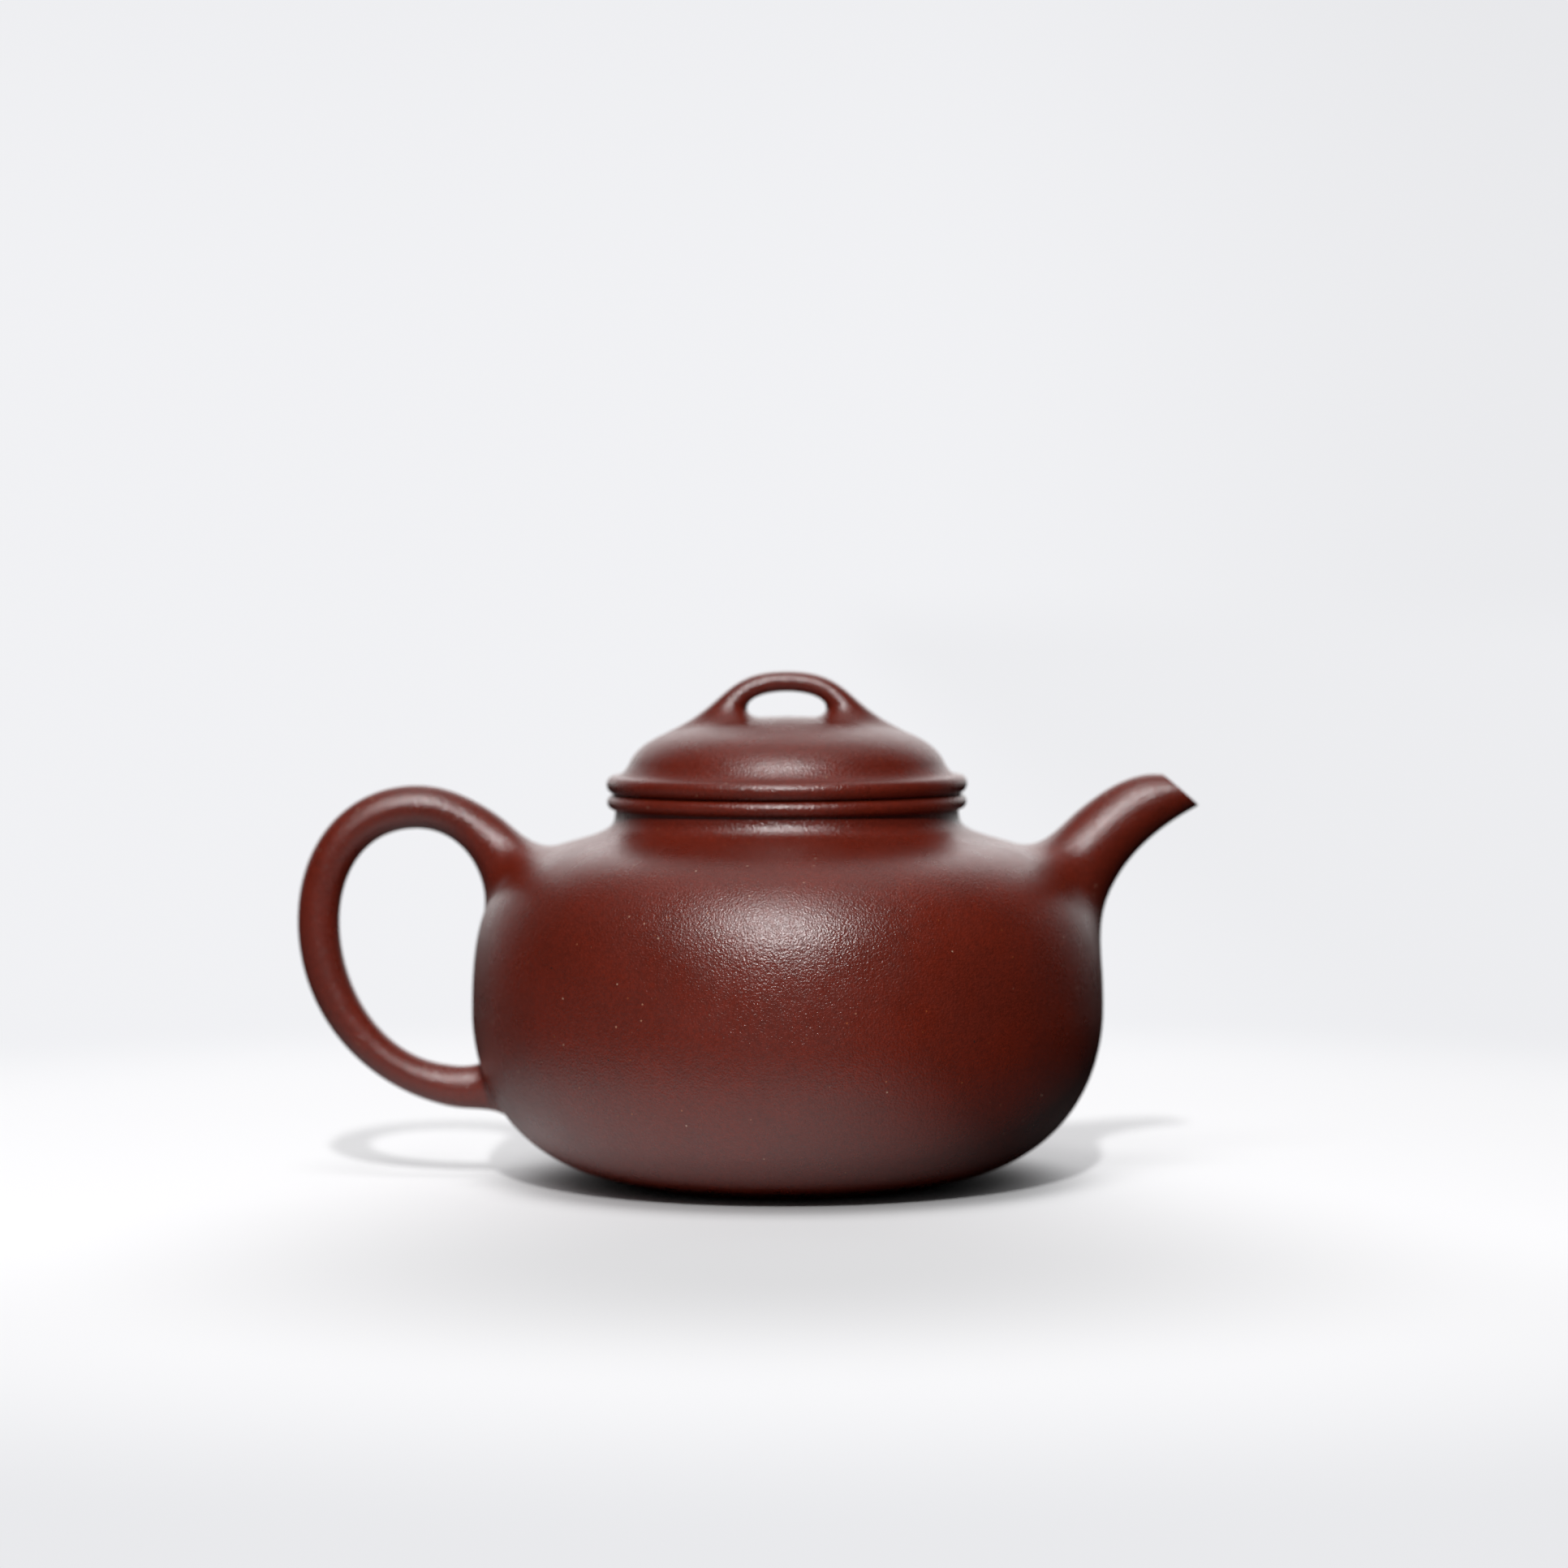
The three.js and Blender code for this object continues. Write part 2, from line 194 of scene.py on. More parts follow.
KNOB_TOP = in_box("bridge_knob", [(0, 1.02), (0.5412, 1.02), (0.5077, 0.4713), (1, 0.0181)])
KNOB_OPENING = in_box("bridge_knob", [(0, 0.68), (0.315, 0.68), (0.43, 0.3907), (0.2577, 0.2497)])
HANDLE_BACK = [
    in_box("handle", [(-0.4969, 0.8143), (-0.5755, 0.8842), (-0.6515, 1), (-0.7546, 1)]),
    in_box("handle", [(-0.7546, 1), (-0.8982, 1), (-1, 0.8272), (-1, 0.5846)]),
    in_box("handle", [(-1, 0.5846), (-1, 0.2574), (-0.827, 0.0129), (-0.6184, 0)]),
]
HANDLE_FINGER = [
    in_box("handle", [(-0.6307, 0.4779), (-0.5816, 0.7059), (-0.6577, 0.8676), (-0.7558, 0.8676)]),
    in_box("handle", [(-0.7558, 0.8676), (-0.8601, 0.8676), (-0.9153, 0.7335), (-0.9153, 0.5809)]),
    in_box("handle", [(-0.9153, 0.5809), (-0.9153, 0.364), (-0.8135, 0.125), (-0.6577, 0.1434)]),
]
SPOUT_TOP = [in_box("spout", [(0.598, 0.5854), (0.6959, 0.734), (0.79, 1.026), (0.911, 1.0)])]
SPOUT_BOTTOM = [in_box("spout", [(0.765, 0.0), (0.753, 0.392), (0.881, 0.664), (1, 0.814)])]


# ------------------------------------------------------------------ meshes

HAND_SWELL = 0.07  # millimetres


def handmade(points):
    """The slow unevenness of a pot shaped by hand, fading out where the lid has to fit."""
    x, y, z = points.T
    swell = np.sin(x / 17 + 0.7) * np.cos(y / 23 + 1.1) + 0.6 * np.sin(z / 9 + x / 31 + 2.0)
    fade = np.clip(np.abs(z - RIM_TOP) / 12, 0, 1) ** 2
    radial = points * (1, 1, 0)
    radial /= np.maximum(np.linalg.norm(radial, axis=1), 1e-6)[:, None]
    return points + radial * (HAND_SWELL * swell * fade)[:, None]


def piece(name, points, faces):
    """A smooth mesh object from millimetre points, with its faces turned outwards."""
    mesh = bpy.data.meshes.new(name)
    mesh.from_pydata((handmade(np.asarray(points, float)) * MM).tolist(), [], faces)
    tidy = bmesh.new()
    tidy.from_mesh(mesh)
    bmesh.ops.recalc_face_normals(tidy, faces=tidy.faces)
    tidy.to_mesh(mesh)
    tidy.free()
    mesh.shade_smooth()
    mesh.set_sharp_from_angle(angle=math.radians(38))
    obj = bpy.data.objects.new(name, mesh)
    bpy.context.scene.collection.objects.link(obj)
    return obj


def bands(row_pairs):
    """Faces between rows of point numbers; where a row is one point over and over, triangles."""
    faces = []
    for row, above in row_pairs:
        for i in range(len(row)):
            j = (i + 1) % len(row)
            corners = list(dict.fromkeys((row[i], row[j], above[j], above[i])))
            if len(corners) > 2:
                faces.append(corners)
    return faces


def lathe(name, profile, around=ROUND):
    """A solid turned about the axis from a loop of (r, z) points; r of 0 closes on the axis."""
    angles = np.linspace(0, 2 * math.pi, around, endpoint=False)
    points, rows = [], []
    for r, z in profile:
        if r < 1e-6:
            rows.append([len(points)] * around)
            points.append((0.0, 0.0, z))
            continue
        rows.append(list(range(len(points), len(points) + around)))
        points.extend((r * math.cos(a), r * math.sin(a), z) for a in angles)
    return piece(name, points, bands(zip(rows, rows[1:] + rows[:1])))


def loft(name, rings, ring_shaped=False):
    """A skin over rings of equal point counts, capped at both ends or closed on itself."""
    count = len(rings[0])
    points = [p for ring in rings for p in ring]
    rows = [list(range(i * count, (i + 1) * count)) for i in range(len(rings))]
    following = rows[1:] + rows[:1] if ring_shaped else rows[1:]
    faces = bands(zip(rows, following))
    if not ring_shaped:
        for row in (rows[0], rows[-1]):
            middle = len(points)
            points.append(np.mean([points[i] for i in row], axis=0))
            faces.extend((row[i], row[(i + 1) % count], middle) for i in range(count))
    return piece(name, points, faces)


def cut(obj, tool, operation="DIFFERENCE"):
    """Carves tool out of obj, or keeps only what both hold, and removes the tool."""
    modifier = obj.modifiers.new("cut", "BOOLEAN")
    modifier.operation = operation
    modifier.solver = "MANIFOLD"
    modifier.object = tool
    evaluated = obj.evaluated_get(bpy.context.evaluated_depsgraph_get())
    mesh = bpy.data.meshes.new_from_object(evaluated)
    obj.modifiers.clear()
    obj.data = mesh
    bpy.data.objects.remove(tool)


# ------------------------------------------------------------------ coils and their roots

TURN = np.linspace(0, 2 * math.pi, COIL, endpoint=False)
ACROSS = np.cos(TURN)  # 1 on a coil's upper outline, -1 on its lower one
SIDEWAYS = np.sin(TURN)
SPREAD = 0.42 + 0.13 * SIDEWAYS ** 2  # how far a skirt keeps to its surface, more at the sides
EDGE_SINK = 0.02  # how far a root's feathered edge lies under the surface it grows from


def section(upper, lower, half_width, wall=0.0):
    """A ring of points, an ellipse between two outline points, smaller all round by wall."""
    upper, lower = np.asarray(upper, float), np.asarray(lower, float)
    centre, axis = (upper + lower) / 2, (upper - lower) / 2
    axis = axis * (1 - wall / np.linalg.norm(axis))
    ring = np.zeros((COIL, 3))
    ring[:, 0] = centre[0] + axis[0] * ACROSS
    ring[:, 1] = (half_width - wall) * SIDEWAYS
    ring[:, 2] = centre[1] + axis[1] * ACROSS
    return ring


class Surface:
    """The outside of a turned piece, measured by distance along its profile."""

    def __init__(self, profile):
        self.profile = profile
        steps = np.linalg.norm(np.diff(profile, axis=0), axis=1)
        self.distance = np.concatenate([[0], np.cumsum(steps)])

    def at_height(self, z):
        return np.interp(z, self.profile[:, 1], self.distance)

    def at_radius(self, r):
        return np.interp(-r, -self.profile[:, 0], self.distance)

    def points(self, distance, y, side, depth):
        """Points at a distance along the profile and y off the XZ plane, depth under the skin."""
        r = np.interp(distance, self.distance, self.profile[:, 0])
        z = np.interp(distance, self.distance, self.profile[:, 1])
        slope = np.gradient(self.profile, self.distance, axis=0)
        slope_r = np.interp(distance, self.distance, slope[:, 0])
        slope_z = np.interp(distance, self.distance, slope[:, 1])
        share = np.clip(y / np.maximum(r, 1e-6), -1, 1)
        deep_r = r - depth * slope_z
        x = side * deep_r * np.sqrt(1 - share ** 2)
        return np.stack([x, deep_r * share, z + depth * slope_r], axis=1)


class Root:
    """The patch of a surface where a coil grows out of it: an oval from start to end."""

    def __init__(self, surface, start, end, half_width, side):
        self.surface, self.side = surface, side
        self.middle, self.half = (start + end) / 2, (end - start) / 2
        self.half_width = half_width

    def ring(self, size=1.0, depth=0.0):
        distance = self.middle + size * self.half * ACROSS
        return self.surface.points(distance, size * self.half_width * SIDEWAYS, self.side, depth)

    def skirt(self, ring, heading, steps, pull_root, pull_coil, crisp=0.0):
        """Rings that sweep from the surface into a coil's first ring, which is left out.

        heading is the coil's direction at that ring. Where crisp is 0 the skirt leaves the
        surface smoothly, and where it is 1 it meets the surface at the coil's own angle.
        """
        edge = self.ring(depth=EDGE_SINK)
        flat = self.ring(size=0.98, depth=EDGE_SINK) - edge
        flat /= np.linalg.norm(flat, axis=1)[:, None]
        gap = np.linalg.norm(ring - edge, axis=1)[:, None]
        crisp = np.broadcast_to(crisp, (COIL,))[:, None]
        straight = (ring - edge) / np.maximum(gap, 1e-9)
        leave = flat * (1 - crisp) + straight * crisp
        pull_root, pull_coil = (np.broadcast_to(p, (COIL,))[:, None] for p in (pull_root, pull_coil))
        controls = (edge, edge + leave * gap * pull_root, ring - heading * gap * pull_coil, ring)
        return [bezier(controls, t) for t in np.linspace(0, 1, steps, endpoint=False)]


def headings(before, after):
    """The direction from each point of one ring to the same point of the next, of length 1."""
    step = after - before
    return step / np.linalg.norm(step, axis=1)[:, None]


# ------------------------------------------------------------------ the clay

class Nodes:
    """Short names for building a node tree."""

    def __init__(self, tree):
        self.tree = tree

    def add(self, kind, settings=None, **inputs):
        node = self.tree.nodes.new(kind)
        for name, value in (settings or {}).items():
            setattr(node, name, value)
        for name, value in inputs.items():
            self.put(node, name.replace("_", " "), value)
        return node

    def put(self, node, name, value):
        socket = node.inputs[int(name)] if name.isdigit() else node.inputs[name]
        if isinstance(value, bpy.types.NodeSocket):
            self.tree.links.new(value, socket)
        else:
            socket.default_value = value

    def math(self, operation, first, second=0.0):
        node = self.add("ShaderNodeMath", {"operation": operation})
        self.put(node, "0", first)
        self.put(node, "1", second)
        return node.outputs[0]

    def product(self, first, *others):
        for other in others:
            first = self.math("MULTIPLY", first, other)
        return first

    def split(self, vector):
        return self.add("ShaderNodeSeparateXYZ", Vector=vector).outputs[:]

    def blend(self, factor, first, second, blend_type="MIX"):
        node = self.add("ShaderNodeMix", {"data_type": "RGBA", "blend_type": blend_type})
        self.put(node, "0", factor)
        self.put(node, "6", first)
        self.put(node, "7", second)
        return node.outputs[2]

    def ramp(self, value, low, high, to_low=0.0, to_high=1.0):
        """to_low up to low, to_high from high on, and a smooth step between them."""
        node = self.add("ShaderNodeMapRange", {"interpolation_type": "SMOOTHSTEP"})
        for i, number in enumerate((value, low, high, to_low, to_high)):
            self.put(node, str(i), number)
        return node.outputs[0]

    def noise(self, position, size, detail=2.0, roughness=0.5):
        """Noise whose features are about size millimetres across."""
        node = self.add("ShaderNodeTexNoise", Vector=position, Scale=1 / size, Detail=detail)
        self.put(node, "Roughness", roughness)
        return node.outputs["Fac"]


def grains(nodes, position, spacing, radius, share):
    """(1 inside a grain, its own random value), with radius measured in spacings."""
    cells = nodes.add("ShaderNodeTexVoronoi", Vector=position, Scale=1 / spacing)
    inside = nodes.ramp(cells.outputs["Distance"], radius * 0.6, radius * 1.2, 1.0, 0.0)
    pick = nodes.add("ShaderNodeSeparateColor", Color=cells.outputs["Color"])
    chosen = nodes.math("LESS_THAN", pick.outputs[0], share)
    return nodes.math("MULTIPLY", inside, chosen), pick.outputs[1]


CLAY_RED = (0.125, 0.0108, 0.0034, 1)
CLAY_BROWN = (0.108, 0.0108, 0.0044, 1)
GRAIN_PALE = (0.42, 0.27, 0.20, 1)
GRAIN_ORANGE = (0.42, 0.12, 0.03, 1)
GRAIN_BLACK = (0.012, 0.008, 0.008, 1)
ROUGHNESS = 0.29
ROUGHNESS_SWING = 0.03  # how much duller and glossier some patches are
REFRACTION = 1.65
SKIN_RELIEF = 0.115  # depth of the grainy skin, in millimetres


def clay_colour(nodes, mm):
    """Cloudy red and brown clay, finely mottled, with pale, orange and black grains."""
    clouds = nodes.ramp(nodes.noise(mm, 14, 3, 0.6), 0.35, 0.65)
    colour = nodes.blend(clouds, CLAY_RED, CLAY_BROWN)
    mottle = nodes.ramp(nodes.noise(mm, 0.7, 4, 0.7), 0.3, 0.7, 0.82, 1.18)
    colour = nodes.blend(1.0, colour, mottle, "MULTIPLY")
    light_grain, tone = grains(nodes, mm, spacing=2.1, radius=0.08, share=0.42)
    grain_colour = nodes.blend(nodes.ramp(tone, 0.3, 0.8), GRAIN_ORANGE, GRAIN_PALE)
    faint = nodes.math("MULTIPLY", light_grain, nodes.ramp(tone, 0.0, 1.0, 0.25, 0.95))
    colour = nodes.blend(faint, colour, grain_colour)
    dark_grain, _ = grains(nodes, mm, spacing=4.2, radius=0.045, share=0.4)
    return nodes.blend(dark_grain, colour, GRAIN_BLACK)


def clay_skin(nodes, mm):
    """The fine grain that shows in the clay's highlights, with faint slower waves under it."""
    fine = nodes.noise(mm, 0.36, 2, 0.55)
    coarse = nodes.noise(mm, 2.2, 2, 0.5)
    skin = nodes.math("ADD", fine, nodes.math("MULTIPLY", coarse, 0.15))
    bump = nodes.add("ShaderNodeBump", Strength=1.0, Distance=SKIN_RELIEF * MM, Height=skin)
    return bump.outputs[0]


def clay_material():
    material = bpy.data.materials.new("zisha_clay")
    material.use_nodes = True
    nodes = Nodes(material.node_tree)
    place = nodes.add("ShaderNodeTexCoord").outputs["Object"]
    scaled = nodes.add("ShaderNodeVectorMath", {"operation": "SCALE"}, Vector=place, Scale=1 / MM)
    mm = scaled.outputs[0]
    dullest, glossiest = ROUGHNESS + ROUGHNESS_SWING, ROUGHNESS - ROUGHNESS_SWING
    polish = nodes.ramp(nodes.noise(mm, 6, 3), 0.3, 0.7, glossiest, dullest)
    shader = material.node_tree.nodes["Principled BSDF"]
    nodes.put(shader, "Base Color", clay_colour(nodes, mm))
    nodes.put(shader, "Roughness", polish)
    nodes.put(shader, "IOR", REFRACTION)
    nodes.put(shader, "Normal", clay_skin(nodes, mm))
    return material


CLAY = clay_material()


def place(obj, body, node):
    """Gives a finished piece its clay and puts it on the body that its CAD node belongs to."""
    obj.data.materials.clear()
    obj.data.materials.append(CLAY)
    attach(obj, body)
    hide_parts(node)


# ------------------------------------------------------------------ the pot

def wall_profile(steps):
    return np.concatenate([trace(UNDERSIDE, steps), trace(FLANK, steps)[1:]])


POT = Surface(np.concatenate([wall_profile(64), trace(NECK_SLOPE, 32)[1:]]))


def base_disc():
    """The floor of the pot, standing on the outer ring of its slightly hollow underside."""
    rest_radius = FOOT_RADIUS - 1.2
    edge = [
        (0, 0.45),
        (rest_radius - 6, 0.45),
        (rest_radius - 4.5, 0),
        (rest_radius, 0),
        (FOOT_RADIUS, FOOT_HEIGHT),
        (FOOT_RADIUS - WALL * UNDERSIDE_SLOPE, BASE_TOP),
        (0, BASE_TOP),
    ]
    return lathe("clay_base_disc", soften(edge, 0.6))


def body_wall():
    outside = wall_profile(72)
    inside = inset(outside, WALL)[::-1]
    wall = lathe("clay_body_wall", np.concatenate([outside, inside]))
    cut(wall, spout_bore(HOLE_MARGIN))
    return wall


def shoulder_disc():
    slope = trace(NECK_SLOPE, 32, 0, NECK_RING_START)
    under = inset(trace(NECK_SLOPE, 12, 0, 0.34), WALL)[::-1]
    mouth = [(MOUTH_RADIUS, slope[-1][1]), (MOUTH_RADIUS, SHOULDER_HEIGHT)]
    return lathe("clay_shoulder_disc", np.concatenate([slope, mouth, under]))


def neck_ring():
    slope = trace(NECK_SLOPE, 40, NECK_RING_START, 1)
    mouth = [(MOUTH_RADIUS, slope[-1][1]), (MOUTH_RADIUS, slope[0][1])]
    return lathe("clay_neck_ring", np.concatenate([slope, mouth]))


def mouth_rim():
    edge = trace(RIM_EDGE, 24)
    top = soften([edge[-1], (MOUTH_RADIUS, RIM_TOP), (MOUTH_RADIUS, RIM_BASE - 0.05)], 0.6)
    return lathe("clay_mouth_rim", np.concatenate([edge, top[1:]]))


# ------------------------------------------------------------------ the spout

SPOUT_WIDTHS = {"root": 10.5, "middle": 6.2, "tip": 3.4}
SPOUT_AIM = np.array([math.cos(0.55), 0, math.sin(0.55)])
SPOUT_ROOT_WALL = 2.1
SPOUT_TIP_WALL = 1.2
SKIRT_END = 0.42  # how far up the spout its flared root reaches
HOLE_MARGIN = 0.15
SPOUT_ROOT = {"start": 34.5, "end": 56.2, "half_width": 18.5}
LIP_AIM = np.array([0.672, 0, 0.740])
LIP = [  # distance in from the spout's outline, rise along LIP_AIM
    (0.04, 0.06),
    (0.12, 0.10),
    (0.30, 0.12),
    (0.85, 0.12),
    (1.05, 0.09),
    (1.16, 0.04),
]


def pot_root(sizes, side):
    """A coil's root on the pot, from the height of its under or finger side to the other one's."""
    start, end = POT.at_height(sizes["start"]), POT.at_height(sizes["end"])
    return Root(POT, start, end, sizes["half_width"], side)


def spout_section(t, wall=0.0):
    """A ring of the spout, from t of 0 inside the pot to 1 at the lip."""
    flare = (SPOUT_WIDTHS["root"] - SPOUT_WIDTHS["middle"]) * (1 - t) ** 4
    taper = (SPOUT_WIDTHS["middle"] - SPOUT_WIDTHS["tip"]) * (1 - t ** 1.5)
    half_width = SPOUT_WIDTHS["tip"] + taper + flare
    return section(along(SPOUT_TOP, t)[0], along(SPOUT_BOTTOM, t)[0], half_width, wall)


def spout_wall(t):
    return SPOUT_ROOT_WALL + (SPOUT_TIP_WALL - SPOUT_ROOT_WALL) * t


def spout_bore(margin):
    """The channel through the wall at the spout's root, wider than the spout's own by margin."""
    rings = [spout_section(t, spout_wall(t) - margin) for t in np.linspace(0, 0.3, 8)]
    return loft("spout_bore", [rings[0] - 8 * SPOUT_AIM] + rings)


def spout():
    """One closed skin: out of the pot to the lip, over it, and back down the channel."""
    root = pot_root(SPOUT_ROOT, side=1)
    first = spout_section(SKIRT_END)
    heading = headings(spout_section(SKIRT_END - 0.01), first)
    rings = [root.ring(size=0.97, depth=0.6)]
    rings += root.skirt(first, heading, 48, SPREAD, SPREAD)
    rings += [spout_section(t) for t in np.linspace(SKIRT_END, 1, 56)]
    for wall, rise in LIP:
        rings.append(spout_section(1, wall) + LIP_AIM * rise)
    rings += [spout_section(t, spout_wall(t)) for t in np.linspace(1, 0, 40)]
    return loft("clay_spout", rings, ring_shaped=True)


STRAINER_RADIUS = 10.0
STRAINER_RISE = 5.5
STRAINER_WALL = 1.6
STRAINER_SETBACK = 2.2
STRAINER_GRIP = 0.5  # how deep its edge reaches into the wall
STRAINER_HOLE_RADIUS = 1.0
STRAINER_HOLE_RING = 4.6  # distance of the six outer holes from the middle one


def strainer():
    """A small dome with seven holes, luted over the spout's opening inside the wall."""
    sphere = (STRAINER_RADIUS ** 2 + STRAINER_RISE ** 2) / (2 * STRAINER_RISE)
    spread = np.linspace(0, math.asin(STRAINER_RADIUS / sphere), 20)
    outer = np.stack([np.sin(spread), -np.cos(spread)], axis=1) * sphere
    inner = outer[::-1] * (sphere - STRAINER_WALL) / sphere
    profile = np.concatenate([outer, inner]) + (0, sphere * math.cos(spread[-1]))
    dome = lathe("clay_spout_strainer", profile, 96)
    for i in range(7):
        ring = 0 if i == 0 else STRAINER_HOLE_RING
        centre = (ring * math.cos(i * math.pi / 3), ring * math.sin(i * math.pi / 3))
        cut(dome, drill(centre, STRAINER_HOLE_RADIUS, 20))
    tilt = Vector((0, 0, 1)).rotation_difference(Vector(SPOUT_AIM)).to_matrix().to_4x4()
    root_middle = spout_section(0).mean(axis=0)
    tilt.translation = Vector((root_middle - STRAINER_SETBACK * SPOUT_AIM) * MM)
    dome.data.transform(tilt)
    cavity = inset(wall_profile(40), WALL - STRAINER_GRIP)
    cavity = np.concatenate([[(0, cavity[0][1])], cavity, [(0, cavity[-1][1])]])
    cut(dome, lathe("cavity", cavity, 128), "INTERSECT")
    return dome


def drill(centre, radius, length):
    x, y = centre
    turn = np.linspace(0, 2 * math.pi, 32, endpoint=False)
    circle = np.stack([x + radius * np.cos(turn), y + radius * np.sin(turn), 0 * turn], axis=1)
    return loft("drill", [circle - (0, 0, length / 2), circle + (0, 0, length / 2)])


# ------------------------------------------------------------------ the handle

HANDLE_WIDTHS = {"root": 7.6, "middle": 3.7, "tail": 3.2}
HANDLE_SKIRT_END = 0.15
HANDLE_TAIL_START = 0.955
HANDLE_UPPER_ROOT = {"start": 35.5, "end": 56.25, "half_width": 18.0}
HANDLE_LOWER_ROOT = {"start": 19.8, "end": 9.9, "half_width": 4.0}


def handle_section(t):
    """A ring of the handle, from t of 0 at its upper root to 1 past its lower one."""
    flare = (HANDLE_WIDTHS["root"] - HANDLE_WIDTHS["middle"]) * max(0, 1 - 4 * t) ** 2
    taper = (HANDLE_WIDTHS["middle"] - HANDLE_WIDTHS["tail"]) * t ** 2
    half_width = HANDLE_WIDTHS["middle"] + flare - taper
    return section(along(HANDLE_BACK, t)[0], along(HANDLE_FINGER, t)[0], half_width)


def handle():
    upper = pot_root(HANDLE_UPPER_ROOT, side=-1)
    first = handle_section(HANDLE_SKIRT_END)
    rings = [upper.ring(size=0.5, depth=1.6), upper.ring(size=0.97, depth=0.6)]
    heading = headings(handle_section(HANDLE_SKIRT_END - 0.004), first)
    rings += upper.skirt(first, heading, 48, SPREAD, SPREAD)
    rings += [handle_section(t) for t in np.linspace(HANDLE_SKIRT_END, HANDLE_TAIL_START, 150)]
    last = rings[-1]
    lower = pot_root(HANDLE_LOWER_ROOT, side=-1)
    heading = headings(last, handle_section(HANDLE_TAIL_START - 0.004))
    crisp = np.clip(0.35 - 0.3 * ACROSS, 0, 1)
    tail = lower.skirt(last, heading, 24, 0.35, 0.4, crisp)
    rings += tail[::-1]
    rings += [lower.ring(size=0.93, depth=0.7), lower.ring(size=0.5, depth=1.6)]
    return loft("clay_handle", rings)


# ------------------------------------------------------------------ the lid

def lid_flange():
    inner, outer, top = FLANGE_RADIUS - FLANGE_WALL, FLANGE_RADIUS, LID_BASE - 0.1
    start = (outer, FLANGE_BOTTOM + 2)
    ring = [start, (outer, top), (inner, top), (inner, FLANGE_BOTTOM), (outer, FLANGE_BOTTOM), start]
    return lathe("clay_lid_flange", soften(ring, 0.7)[:-1])


def lid_seat_disc():
    inner, outer, top = FLANGE_RADIUS - FLANGE_WALL, SEAT_RADIUS + 0.05, BAND_TOP - 0.05
    ring = [(outer, LID_BASE + 1), (outer, top), (inner, top), (inner, LID_BASE), (outer, LID_BASE)]
    return lathe("clay_lid_seat_disc", ring)


def lid_rim_band():
    edge = trace(BAND_EDGE, 28)
    back = [(SEAT_RADIUS, BAND_TOP), (SEAT_RADIUS, LID_BASE)]
    return lathe("clay_lid_rim_band", np.concatenate([edge, back]))


def lid_dome():
    """The dome, hollow underneath, with the steam hole in the middle of its top."""
    hole_edge = 1 - STEAM_HOLE_RADIUS / (3 * LID_CROWN[2][0])
    crown = trace(LID_CROWN, 64, 0, hole_edge)
    outside = np.concatenate([trace(LID_COVE, 16), crown[1:]])
    inside = inset(crown, LID_WALL)[::-1]
    return lathe("clay_lid_dome", np.concatenate([outside, inside, [(LID_HOLLOW_RADIUS, BAND_TOP)]]))


def lid_surface():
    return Surface(np.concatenate([trace(LID_COVE, 16), trace(LID_CROWN, 96, 0, 0.999)[1:]]))


KNOB_HALF_WIDTH = 3.3
KNOB_FOOT_HALF_WIDTH = 5.4
STRAP_SQUARENESS = 2.2
KNOB_SKIRT_START = 0.62
KNOB_ROOT = {"inner": 4.6, "outer": 21.5, "half_width": 8.2}


def knob_section(t, side):
    """A ring of the arch, which is a flat strap with round edges."""
    mirror = np.array([side, 1])
    width = KNOB_HALF_WIDTH + (KNOB_FOOT_HALF_WIDTH - KNOB_HALF_WIDTH) * t ** 2
    upper = bezier(KNOB_TOP, t) * mirror
    lower = bezier(KNOB_OPENING, t) * mirror
    ring = section(upper, lower, width)
    edge = min(np.linalg.norm(upper - lower) / 2, width)
    ring[:, 1] = edge * SIDEWAYS + (width - edge) * np.clip(STRAP_SQUARENESS * SIDEWAYS, -1, 1)
    return ring


def knob():
    dome = lid_surface()
    skirts, ends = [], []
    for side in (-1, 1):
        inner, outer = dome.at_radius(KNOB_ROOT["inner"]), dome.at_radius(KNOB_ROOT["outer"])
        root = Root(dome, inner, outer, KNOB_ROOT["half_width"], side)
        first = knob_section(KNOB_SKIRT_START, side)
        heading = headings(knob_section(KNOB_SKIRT_START + 0.01, side), first)
        skirts.append(root.skirt(first, heading, 28, 0.42, 0.42))
        ends.append([root.ring(size=0.5, depth=1.5), root.ring(size=0.96, depth=0.5)])
    spread = np.linspace(-KNOB_SKIRT_START, KNOB_SKIRT_START, 80)
    arch = [knob_section(abs(t), math.copysign(1, t)) for t in spread]
    rings = ends[0] + skirts[0] + arch + skirts[1][::-1] + ends[1][::-1]
    return loft("clay_bridge_knob", rings)


# ------------------------------------------------------------------ build

for body, node, obj in (
    ("pot", "base_disc", base_disc()),
    ("pot", "body_wall", body_wall()),
    ("pot", "shoulder_disc", shoulder_disc()),
    ("pot", "neck_ring", neck_ring()),
    ("pot", "mouth_rim", mouth_rim()),
    ("pot", "spout", spout()),
    ("pot", "spout_strainer", strainer()),
    ("pot", "handle", handle()),
    ("lid_carrier", "lid_flange", lid_flange()),
    ("lid", "lid_seat_disc", lid_seat_disc()),
    ("lid", "lid_rim_band", lid_rim_band()),
    ("lid", "lid_dome", lid_dome()),
    ("lid", "bridge_knob", knob()),
):
    place(obj, body, node)


# ------------------------------------------------------------------ floor, light and camera

